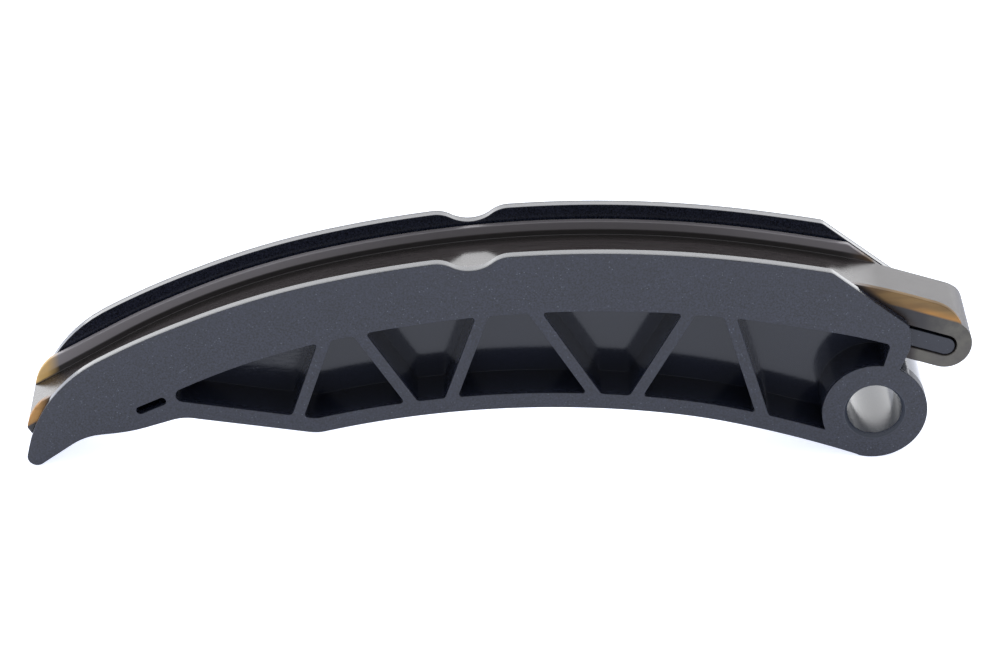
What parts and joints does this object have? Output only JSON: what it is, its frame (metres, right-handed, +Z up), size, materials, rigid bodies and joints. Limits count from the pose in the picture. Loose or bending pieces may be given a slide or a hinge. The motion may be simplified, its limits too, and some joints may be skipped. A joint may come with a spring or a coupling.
{
  "type": "timing chain guide",
  "caption": "Curved engine timing chain guide: a ribbed black carrier beam with side walls and a pivot boss, and a brown slide liner hooked over its pivot end.",
  "frame": {"origin": "centre of the bounding box at the level of the nose tip's and the boss's lowest lines", "axes": "+X along the guide from its nose to its pivot boss, +Y across it along the pivot's axis, +Z up, towards the running side"},
  "size_m": [0.238, 0.0288, 0.0593],
  "materials": {
    "glass_filled_nylon": "satin black moulded plastic",
    "slide_nylon": "glossy amber-brown plastic"
  },
  "bodies": {
    "root": {"carrier": "glass_filled_nylon", "slide_liner": "slide_nylon"}
  },
  "joints": []
}
